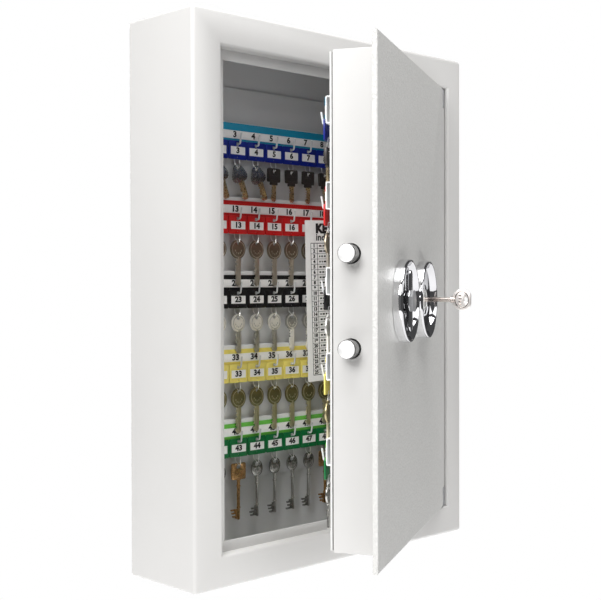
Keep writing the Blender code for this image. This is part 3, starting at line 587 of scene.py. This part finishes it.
def capped_key(end, dice):
    """A key whose square head is covered in plastic."""
    hole = circle((0, KEY_HOLE_Y), 2.5, 14)
    cap = rounded_rectangle(-9.6, -33, 9.6, -16.6, 1.6)
    raised_frame = [
        rounded_rectangle(-7.6, -31, 7.6, -24.5, 1.0),
        rounded_rectangle(-6.8, -30.2, 6.8, -25.3, 0.6),
    ]
    neck = rounded_rectangle(-5.4, -36.5, 5.4, -32.5, 0.8)
    core = rounded_rectangle(-8, -32, 8, -18, 1)
    parts = flat_key(core, -33, end, dice, half_width=3.4, eye=2.6)
    parts.append((2, plate([cap, hole], KEY_BACK - 0.7, KEY_FRONT + 0.7, 0.5)))
    parts.append((2, plate(raised_frame, KEY_FRONT + 0.6, KEY_FRONT + 1.0, 0.1)))
    return parts + [(2, plate([neck], KEY_BACK - 0.4, KEY_FRONT + 0.4, 0.3))]


def mortice_key(end, dice, square):
    """A round-shafted key with a pierced bow, two collars and a stepped bit at its lower left.
    """
    if square:
        bow = rounded_rectangle(-10.6, -36.5, 10.6, -17.2, 2.0)
    else:
        bow = arc((0, -26.4), 8.6, 9.8, 0, 350, 35)
    eye = arc((0, KEY_HOLE_Y - 1.0), 3.4, 2.4, 0, 345, 23)
    parts = [(0, plate([bow, eye], KEY_BACK - 0.2, KEY_FRONT + 0.2, 0.6))]
    rim = [arc((0, -29.6), r, r * 0.8, 0, 350, 35) for r in (5.8, 4.6)]
    parts.append((1, plate(rim, KEY_FRONT + 0.1, KEY_FRONT + 0.6, 0.15)))
    for k in range(3):
        bar = rounded_rectangle(2.2 * k - 2.8, -31.4, 2.2 * k - 1.6, -27.8, 0.4, 2)
        parts.append((1, plate([bar], KEY_FRONT + 0.1, KEY_FRONT + 0.6, 0.12)))
    middle, radius, top = (KEY_BACK + KEY_FRONT) / 2, 1.9, -35.0
    profile = [(0, top), (2.6, top), (2.6, top - 2.2), (radius, top - 3)]
    for y in (top - 8, end + 15):
        profile += [(radius, y), (radius + 0.8, y - 0.5), (radius + 0.8, y - 1.3), (radius, y - 1.8)]
    profile += [(radius, end + 0.6), (radius - 0.6, end), (0, end)]
    if end > -65:  # the collars don't fit
        profile = [(r, h) for r, h in profile if h <= top]
    shaft = lathe(profile, 20)
    stand = Matrix(((1, 0, 0), (0, 0, 1), (0, -1, 0))).to_4x4()
    shaft = moved(shaft, Matrix.Translation((0, 0, middle)) @ stand)
    parts.append((1, shaft))
    step, bit_end = 1.9, end + 1.2
    reaches = [3.6, 9.8, 5.6, 11.0, 4.2, 8.6]
    turn = dice.randrange(len(reaches))
    bit = [(0, bit_end)]
    for k, reach in enumerate(reaches[turn:] + reaches[:turn]):
        low = bit_end + k * step
        bit += [(-reach, low), (-reach, low + step)]
    bit.append((0, bit_end + len(reaches) * step))
    return parts + [(0, plate([bit[::-1]], middle - 1.2, middle + 1.2, 0.15))]


def key_parts(row, hook, end, dice):
    """Shape and finishes of one key."""
    if row == 0 and hook < SCALLOPED_KEYS:
        return scalloped_key(end, dice), ("dark_nickel", "brass")
    if row == 0:
        return capped_key(end, dice), ("brass", "brass", "key_plastic_and_gap_shade")
    # Rows 2 and 4 give everything but the head a lighter copy of the head's metal: painted highlight.
    if row == 1:
        return round_key(end, dice, (11.0, 11.0)), ("bronze", "bronze_painted_highlight")
    if row == 2:
        metals = ("nickel", "bright_nickel") if hook > 4 else ("bright_nickel", "nickel")
        return round_key(end, dice, (9.8, 10.2), 3.0), metals
    if row == 3:
        return round_key(end, dice, (10.8, 11.4)), ("olive_brass", "brass_painted_highlight")
    if hook in COPPER_KEYS:
        return mortice_key(end, dice, True), ("copper_brass", "copper_brass")
    return mortice_key(end, dice, False), ("dark_nickel", "shaft_steel")


def hang_keys(prefix, body, row, place, first_number, shared, dice):
    """A hook, a tag, a ring and a key for each place of a row."""
    node = f"{prefix}keys_row_{row + 1}"
    ends = DOOR_KEY_ENDS if prefix else KEY_ENDS
    for hook in range(HOOKS):
        number = first_number + hook
        at = place @ Matrix.Translation((hook * PITCH * MM, 0, 0))
        piece(f"{prefix}hook_{number}", shared["hook"], body, at)
        tag = numbered_tag(number, shared["tag"], ROW_COLOURS[row])
        lean = Matrix.Rotation(math.radians(dice.uniform(-0.5, 0.5)), 4, "Z")
        piece(f"tag_{number}", tag, body, at @ lean, [node])
        piece(f"ring_{number}", shared["ring"], body, at, [node])
        parts, finishes = key_parts(row, hook, ends[row], dice)
        key = mesh_of(f"key_{number}", joined(*parts), finishes)
        swing = dice.uniform(-1.5, 1.5)
        if row == 0 and hook < SCALLOPED_KEYS:
            swing += 16 + 2 * hook
        hole = Matrix.Translation((0, KEY_HOLE_Y * MM, 0))
        hung = hole @ Matrix.Rotation(math.radians(swing), 4, "Z") @ hole.inverted()
        piece(f"tag_key_{number}", key, body, at @ hung, [node])


def hook_rows(prefix, body, first_number, dice, shared):
    """The bars, strips and keys of the body or, with the prefix door_, of the door."""
    for row in range(ROWS):
        place = row_place(prefix, row)
        number = first_number + row * HOOKS
        bar, strip = f"{prefix}hook_bar_{row + 1}", f"{prefix}label_strip_{row + 1}"
        piece(bar + "_finish", shared["bar"], body, place, [bar])
        finishes = (BAND_FINISHES[row], "paper", "ink")
        numbers = mesh_of(strip, strip_shape(number, row), finishes)
        piece(strip + "_finish", numbers, body, place, [strip])
        hang_keys(prefix, body, row, place, number, shared, dice)


# --- Index card ---------------------------------------------------------------------------


def card_print(width, height, face):
    """A title over a framed table of numbers, with plain bars in place of handwriting."""
    left, right, top = 9.0, width - 8.0, height - 28.0
    rows, row_height, number_width, name_width = 25, 6.45, 11, 33
    columns = [left, left + number_width, left + number_width + name_width]
    columns += [columns[2] + number_width, right]
    parts = []

    def ink(x0, y0, x1, y1):
        parts.append((1, block((x0, y0, face - 0.07), (x1, y1, face + 0.02))))

    for x in columns:
        ink(x - 0.35, top - rows * row_height, x + 0.35, top)
    for k in range(rows + 1):
        y = top - k * row_height
        line = 0.4 if k in (0, rows) else 0.22
        ink(left, y - line, right, y + line)
    dice = random.Random(5)
    for k in range(rows):
        y = top - (k + 0.5) * row_height
        for column, number in ((0, k + 1), (2, k + 1 + rows)):
            place = (columns[column] + number_width / 2, y, face)
            parts.append((1, lettering(str(number), 5.6, place, 0.06)))
            x = columns[column + 1] + 3
            while x < columns[column + 2] - 9:
                length = dice.uniform(2.0, 6.0)
                ink(x, y - 1.0, x + length, y + 1.0)
                x += length + 1.6
    for word, size, down, bold in (("KEYS", 15.0, 10.5, 0.07), ("index", 11.5, 21, 0.03)):
        parts.append((1, lettering(word, size, (18, height - down, face), bold, "LEFT")))
    return parts


def index_card():
    """A printed card that leans out from its hook, and the pierced tab that it hangs by."""
    low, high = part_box("index_card")
    thickness = 0.6
    width, height = (high.x - low.x) / MM, (high.z - low.z) / MM
    sheet = plate([rounded_rectangle(0, 0, width, height, 1.5)], 0, thickness, 0.1)
    card = joined((0, sheet), *card_print(width, height, thickness + 0.02))
    upright = Matrix(((1, 0, 0), (0, 0, -1), (0, 1, 0))).to_4x4()
    card_y = min(v.co.y for v in NODES["index_card"].data.vertices) + thickness * MM
    hook_x = row_place("", 1).translation.x + CARD_HOOK * PITCH * MM
    pivot = Matrix.Translation((hook_x, 0, high.z))
    lean = pivot @ Matrix.Rotation(-CARD_LEAN, 4, "Y") @ pivot.inverted()
    place = lean @ Matrix.Translation((low.x, card_y, low.z)) @ upright
    card = mesh_of("index_card", card, ("paper", "ink"))
    piece("index_card_finish", card, "cabinet", place, ["index_card"])
    tab_outline = rounded_rectangle(-4, 0, 4, (high.y - card_y) / MM, 0.8)
    tab = plate([tab_outline, rounded_rectangle(-1.8, 1.2, 1.8, 7.2, 0.8)], -thickness, 0, 0.1)
    tab_place = Matrix.Translation((hook_x, card_y, high.z))
    piece("index_card_tab", mesh_of("tab", tab, ("paper",)), "cabinet", tab_place)


# --- Lock furniture -----------------------------------------------------------------------


def facing_out(joint):
    """Frame on a joint of the door front: Z out of the door, Y up."""
    axis = Vector(JOINTS[joint]["axis"])
    out = -axis.normalized()
    up = Vector((0, 0, 1))
    side = up.cross(out)
    turn = Matrix((side, up, out)).transposed().to_4x4()
    return Matrix.Translation(Vector(JOINTS[joint]["pos_m"])) @ turn


def dish_shape(hole, floor):
    """A drum with a thin rounded rim, a steep inner wall and a floor with a raised ring."""
    side = 43.5
    shape = lathe(
        [
            (hole, 0.3),
            (side, 0.3),
            (side, 8.6),
            (43.3, 9.9),
            (42.7, 10.7),
            (41.9, 11.0),
            (41.1, 10.8),
            (40.6, 10.2),
            (39.6, 6.2),
            (38.2, floor + 1.0),
            (36.4, floor + 0.2),
            (33.0, floor),
            (hole + 6, floor),
            (hole + 4.5, floor + 0.5),
            (hole + 0.6, floor + 0.5),
            (hole, floor),
        ],
        128,
    )
    # Faces inside the outer side take the second finish, a darker copy of the chrome: painted shade.
    for face in shape.faces:
        face.material_index = int(face.calc_center_median().xy.length < side - 0.05)
    return shape


def handle_shape():
    """An eight-sided satin hub on a bright skirt, and a grip bar whose ends are rounded."""
    corners, skirt_corners = (arc((0, 0), r, r, 22.5, 337.5, 7) for r in (12, 12.8))
    stem = plate([circle((0, 0), 11, 48)], 3.2, 10.2, 0.3)
    skirt = plate([skirt_corners], 9.4, 10.4, 0.3)
    hub = plate([corners], 10.2, 13.8, 0.35)
    half, radius = 32.5, 6.5
    outline = arc((0, half - radius), radius, radius, 0, 180, 16)
    outline += arc((0, radius - half), radius, radius, 180, 360, 16)
    bar = plate([outline], 6.0, 11.0, 1.6)
    # The stem and the bar take the first finish, a darker copy of the chrome: painted shade.
    return joined((0, stem), (2, skirt), (1, hub), (0, bar))


def lock_key_shape():
    """The key in the lock: bow with a flat end, collar, shaft and bit, out of the door."""
    bow_centre, bow_end = 47.0, 57.0
    outline = [(x, min(y, bow_end)) for x, y in arc((0, bow_centre), 12.0, 11.4, -70, 250, 40)]
    eye = circle((0, bow_centre + 4.6), 2.4, 16)
    parts = [(0, plate([outline, eye], -1.3, 1.3, 0.45))]
    for side in (-1, 1):
        ring = [arc((0, bow_centre - 0.4), a, b, 0, 350, 35) for a, b in ((9.8, 8.0), (8.8, 7.0))]
        low, high = sorted((side * 1.2, side * 1.6))
        parts.append((1, plate(ring, low, high, 0.1)))
        for x in (-5.5, -2.0, 1.5, 5.0):
            mark = rounded_rectangle(x - 0.8, bow_centre - 4, x + 0.8, bow_centre - 0.5, 0.3, 2)
            parts.append((1, plate([mark], low, high, 0.08)))
    profile = [(0, -32), (2.0, -32), (2.5, -31), (2.5, 33.4), (3.8, 34.2), (3.8, 36.6)]
    profile += [(3.0, 37.4), (3.0, 38.6), (0, 40)]
    stand = Matrix(((1, 0, 0), (0, 0, -1), (0, 1, 0))).to_4x4()
    parts.append((1, moved(lathe(profile, 28), stand.inverted())))
    bit = [(-9.5, -32.4), (9.5, -32.4), (9.5, -29), (7.6, -29), (7.6, -27), (9, -27), (9, -24)]
    bit += [(6.5, -24), (6.5, -21.4), (-6.5, -21.4), (-6.5, -24), (-9, -24), (-9, -27)]
    bit += [(-7.6, -27), (-7.6, -29), (-9.5, -29)]
    parts.append((0, plate([bit], -1.1, 1.1, 0.1)))
    return joined(*parts)


def curtain_shape():
    """The lock's round plug with the slot that the key goes through; a black block in the slot is
    painted shade.
    """
    rim = plate([circle((0, 0), 12, 48), rounded_rectangle(-1.5, -9.9, 1.5, 9.9, 1.2)], 0.5, 5.0, 0.5)
    ring = plate([circle((0, 0), 11.0, 48), circle((0, 0), 10.2, 48)], 4.9, 5.2, 0.1)
    # a black block in the slot: painted shade
    shade = block((-2.5, -10.8, 0.2), (2.5, 10.8, 0.9))
    return joined((0, rim), (0, ring), (1, shade))


def lock_furniture():
    """The two dishes, the grip, the lock's plug and the key in it."""
    handle, lock = facing_out("handle_turn"), facing_out("key_turn")
    dishes = (("handle_ring", handle, 13.0, 3.0), ("lock_ring", lock, 12.4, 2.2))
    for node, place, hole, floor in dishes:
        mesh = mesh_of(node, dish_shape(hole, floor), ("chrome", "painted_shade_chrome"), smooth=30)
        piece(node + "_finish", mesh, "door", place, [node])
    grip = mesh_of("handle_grip", handle_shape(), ("painted_shade_chrome", "satin", "chrome"), smooth=30)
    piece("handle_grip_finish", grip, "handle", handle, ["handle_grip"])
    plug = mesh_of("lock_curtain", curtain_shape(), ("bolt_steel", "ink"))
    piece("lock_curtain_finish", plug, "curtain", lock, ["lock_curtain"])
    key = mesh_of("lock_key", lock_key_shape(), ("lock_nickel", "darker_lock_nickel"))
    edge_on = Matrix(((0, 0, 1), (1, 0, 0), (0, 1, 0))).to_4x4()
    piece("lock_key", key, "key", lock @ edge_on, ["key"])


# --- Sheet steel and the pieces that keep their CAD shape ----------------------------------

REFINED = {  # node: finish and broken edge in millimetres
    "cabinet_shell": ("cabinet_paint", 0.5),
    "door_stop_frame": ("cabinet_paint", 0.3),
    "hook_board": ("inner_paint", 0.3),
    "door_plate": ("door_paint", 0.3),
    "door_hinge_strip": ("cabinet_paint", 0.4),
    "door_box": ("cabinet_paint", 0.4),
    "door_liner": ("liner_paint", 0.3),
    "hinge_knuckle_upper": ("zinc", 0.5),
    "hinge_knuckle_lower": ("zinc", 0.5),
    "upper_bolt": ("bolt_steel", 0.3),
    "lower_bolt": ("bolt_steel", 0.3),
    **{f"wall_bolt_{k}": ("zinc", 0.3) for k in range(1, 5)},
}
KEPT = {  # hidden works and flat sheets whose CAD shape is their final one
    "back_panel": "inner_paint",
    "hinge_pin_upper": "zinc",
    "hinge_pin_lower": "zinc",
    "lock_case": "zinc",
    "bolt_guide_upper": "zinc",
    "bolt_guide_lower": "zinc",
    "handle_spindle": "zinc",
    "bolt_carriage": "zinc",
    "lock_deadbolt": "zinc",
}


def door_seal():
    """A black strip in the gap between the door's box and its liner: painted shade in that gap."""
    (_, box_high), (low, high) = closed_box("door_box"), closed_box("door_liner")
    width, height = (high.x - low.x) / MM, (high.z - low.z) / MM
    loops = [rounded_rectangle(k, k, width - k, height - k, 1.0) for k in (0.3, 4.0)]
    depth = (low.y - box_high.y) / MM
    shape = plate(loops, 0.05, depth - 0.05, 0.1)
    upright = Matrix(((1, 0, 0), (0, 0, 1), (0, 1, 0))).to_4x4()
    place = OPEN_DOOR @ Matrix.Translation((low.x, box_high.y, low.z)) @ upright
    bmesh.ops.reverse_faces(shape, faces=shape.faces)
    mesh = mesh_of("door_seal", shape, ("key_plastic_and_gap_shade",))
    piece("door_seal", mesh, "door", place, ["door_liner"])


def darken_side(bolt):
    """Give a bolt's turned side and its broken edge a darker copy of its end's steel: painted shade.
    """
    along = (OPEN_DOOR.to_3x3() @ Vector((1, 0, 0))).normalized()
    bolt.data.materials.append(FINISH["bolt_painted_shade"])
    for face in bolt.data.polygons:
        face.material_index = int(abs(face.normal.dot(along)) < 0.5)
    bolt.modifiers["broken_edges"].material = 1


def sheet_steel():
    """Finish the pieces that take their shape from the CAD."""
    for node, (finish, edge) in REFINED.items():
        made = refined(node, finish, edge)
        # the bolts' sides and broken edges get painted shade
        if finish == "bolt_steel":
            darken_side(made)
    for node, finish in KEPT.items():
        NODES[node].data.materials.clear()
        NODES[node].data.materials.append(FINISH[finish])


# --- Stage --------------------------------------------------------------------------------

CAMERA_PLACE = (-0.9238, -0.9971, 0.0157)
CAMERA_HEADING, CAMERA_PITCH, CAMERA_ROLL = math.radians(43.95), -0.0137, -0.0024
LENS = 66.94
FLOOR_Z, FLOOR_GLOW = -1.1, 0.87
WORLD_LIGHT = (0.13, 0.13, 0.132, 1)
LIGHT_DISTANCE = 3.4
LIGHTS = (  # name, degrees to the left of the front and up from it, metres wide, watts
    ("side_light", 70, 30, 1.6, 101),
    ("front_light", 5, 30, 1.6, 24),
    ("top_light", 30, 74, 2.4, 180),
)


def camera():
    """At the height of the cabinet's middle, looking past its left side into the open body."""
    data = bpy.data.cameras.new("camera")
    data.lens = LENS
    data.clip_start = 0.02
    obj = bpy.data.objects.new("camera", data)
    bpy.context.scene.collection.objects.link(obj)
    turn = Matrix.Rotation(-CAMERA_HEADING, 4, "Z")
    tilt = Matrix.Rotation(math.pi / 2 + CAMERA_PITCH, 4, "X")
    roll = Matrix.Rotation(CAMERA_ROLL, 4, "Z")
    obj.matrix_world = Matrix.Translation(CAMERA_PLACE) @ turn @ tilt @ roll
    bpy.context.scene.camera = obj


def area_light(name, left, height, size, power):
    """A square soft box aimed at the cabinet."""
    data = bpy.data.lights.new(name, "AREA")
    data.size, data.energy = size, power
    obj = bpy.data.objects.new(name, data)
    bpy.context.scene.collection.objects.link(obj)
    left, height = math.radians(left), math.radians(height)
    level = math.cos(height)
    away = Vector((-math.sin(left) * level, -math.cos(left) * level, math.sin(height)))
    turn = (-away).to_track_quat("-Z", "Y").to_matrix().to_4x4()
    obj.matrix_world = Matrix.Translation(away * LIGHT_DISTANCE) @ turn


def world():
    """White to the eye and dim as light, so that polished metal has something dark to show."""
    made = bpy.data.worlds.new("studio")
    made.use_nodes = True
    bpy.context.scene.world = made
    tree = made.node_tree
    tree.nodes.clear()
    output = tree.nodes.new("ShaderNodeOutputWorld")
    path = tree.nodes.new("ShaderNodeLightPath")
    light, backdrop = (tree.nodes.new("ShaderNodeBackground") for _ in range(2))
    light.inputs["Color"].default_value = WORLD_LIGHT
    backdrop.inputs["Color"].default_value = (1, 1, 1, 1)
    mix = tree.nodes.new("ShaderNodeMixShader")
    tree.links.new(path.outputs["Is Camera Ray"], mix.inputs["Fac"])
    tree.links.new(light.outputs["Background"], mix.inputs[1])
    tree.links.new(backdrop.outputs["Background"], mix.inputs[2])
    tree.links.new(mix.outputs["Shader"], output.inputs["Surface"])


def floor():
    """A round white floor that throws light up; it ends before it comes into the picture."""
    shape = plate([circle((0, -0.1), 2.4, 96)], FLOOR_Z - 0.05, FLOOR_Z, 0.01)
    mesh = bpy.data.meshes.new("floor")
    shape.to_mesh(mesh)
    shape.free()
    white = surface("floor_white", (0.86, 0.86, 0.86), 0.7, spread=0.005, drift=2, grain=40)
    shader = white.node_tree.nodes["Principled BSDF"]
    shader.inputs["Emission Color"].default_value = (1, 1, 1, 1)
    shader.inputs["Emission Strength"].default_value = FLOOR_GLOW
    mesh.materials.append(white)
    obj = bpy.data.objects.new("floor", mesh)
    bpy.context.scene.collection.objects.link(obj)


def stage():
    bpy.context.scene.view_settings.view_transform = "Standard"
    camera()
    world()
    floor()
    for light in LIGHTS:
        area_light(*light)


def main():
    stage()
    sheet_steel()
    dice = random.Random(11)
    shared = {
        "bar": mesh_of("bar", bar_shape(), ("bar_paint",)),
        "hook": mesh_of("hook", hook_shape(), ("hook",)),
        "ring": mesh_of("ring", ring_shape(), ("ring_wire",)),
        "tag": mesh_of("tag", tag_blank(), ()),
    }
    hook_rows("", "cabinet", 1, dice, shared)
    hook_rows("door_", "door", 1 + ROWS * HOOKS, dice, shared)
    index_card()
    lock_furniture()
    door_seal()


main()
